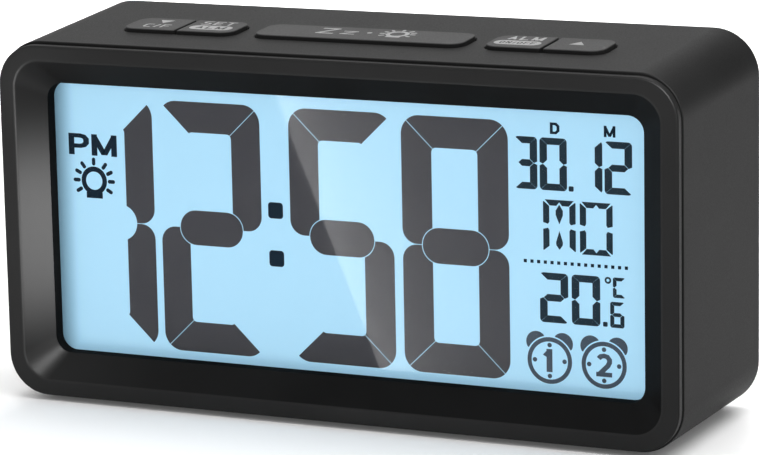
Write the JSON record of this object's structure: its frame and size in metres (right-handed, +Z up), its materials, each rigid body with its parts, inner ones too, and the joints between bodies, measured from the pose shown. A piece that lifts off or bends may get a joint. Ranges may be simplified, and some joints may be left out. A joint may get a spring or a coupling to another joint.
{
  "type": "digital alarm clock",
  "caption": "Desk alarm clock: drafted black case, sloped bezel round a wide backlit display, sprung push keys in the top and a tilting battery door behind.",
  "frame": {"origin": "middle of the footprint, on the plane that the feet stand on", "axes": "+X along the width to the right as seen from the front, the display faces -Y, +Z up"},
  "size_m": [0.135, 0.04, 0.0698],
  "materials": {
    "case_black": "satin, fine spark-eroded grain",
    "bezel_black": "satin, fine spark-eroded grain",
    "key_black": "matte with printed legends",
    "clear_lens": "clear gloss acrylic",
    "lcd": "pale blue liquid crystal display with dark segments",
    "light_guide": "frosted clear acrylic",
    "white_tray": "white reflector plastic",
    "board": "green solder mask",
    "lamp": "white lamp package",
    "conductive_rubber": "layered silicone",
    "epoxy": "black potting",
    "crystal_can": "bright tin",
    "switch": "black switch body",
    "plunger": "coloured switch plunger",
    "cell": "plain jacket with bare metal ends",
    "contact": "nickel-plated spring steel",
    "brass": "bare brass",
    "ceramic": "silvered ceramic",
    "foot_rubber": "soft rubber",
    "screw": "zinc-plated steel",
    "lead_red": "red insulation",
    "lead_black": "black insulation",
    "ribbon": "grey ribbon"
  },
  "bodies": {
    "housing": {"main_case": "case_black", "front_bezel": "bezel_black", "rear_cover": "case_black", "display_lens": "clear_lens", "lcd_panel": "lcd", "light_guide": "light_guide", "backlight_tray": "white_tray", "lamp_strip": "board", "backlight_lamps": "lamp", "zebra_strip": "conductive_rubber", "main_board": "board", "controller_blob": "epoxy", "timing_crystal": "crystal_can", "temperature_sensor": "epoxy", "key_board": "board", "switch_bodies": "switch", "battery_cells": "cell", "battery_contacts": "contact", "contact_springs": "contact", "piezo_disc": "brass", "piezo_ceramic": "ceramic", "feet": "foot_rubber", "case_screws": "screw", "tray_screws": "screw", "board_screws": "screw", "key_board_screws": "screw", "battery_lead_red": "lead_red", "battery_lead_black": "lead_black", "piezo_leads": "lead_black", "lamp_leads": "lead_red", "key_ribbon": "ribbon"},
    "down_button": {"down_key": "key_black", "down_plunger": "plunger"},
    "set_button": {"set_key": "key_black", "set_plunger": "plunger"},
    "snooze_button": {"snooze_key": "key_black", "snooze_plunger": "plunger"},
    "alarm_button": {"alarm_key": "key_black", "alarm_plunger": "plunger"},
    "up_button": {"up_key": "key_black", "up_plunger": "plunger"},
    "door": {"battery_door": "case_black"}
  },
  "joints": [
    {"name": "down_press", "type": "slide", "parent": "housing", "child": "down_button", "axis": [0, 0.0628, -0.998], "range_m": [0, 0.0005], "stiffness_N_per_m": 2000},
    {"name": "set_press", "type": "slide", "parent": "housing", "child": "set_button", "axis": [0, 0.0628, -0.998], "range_m": [0, 0.0005], "stiffness_N_per_m": 2000},
    {"name": "snooze_press", "type": "slide", "parent": "housing", "child": "snooze_button", "axis": [0, 0.0628, -0.998], "range_m": [0, 0.0005], "stiffness_N_per_m": 2000},
    {"name": "alarm_press", "type": "slide", "parent": "housing", "child": "alarm_button", "axis": [0, 0.0628, -0.998], "range_m": [0, 0.0005], "stiffness_N_per_m": 2000},
    {"name": "up_press", "type": "slide", "parent": "housing", "child": "up_button", "axis": [0, 0.0628, -0.998], "range_m": [0, 0.0005], "stiffness_N_per_m": 2000},
    {"name": "door_tilt", "type": "hinge", "parent": "housing", "child": "door", "pos_m": [0, 0.0196, 0.01971], "axis": [-1, 0, 0], "range_deg": [0, 75]}
  ]
}
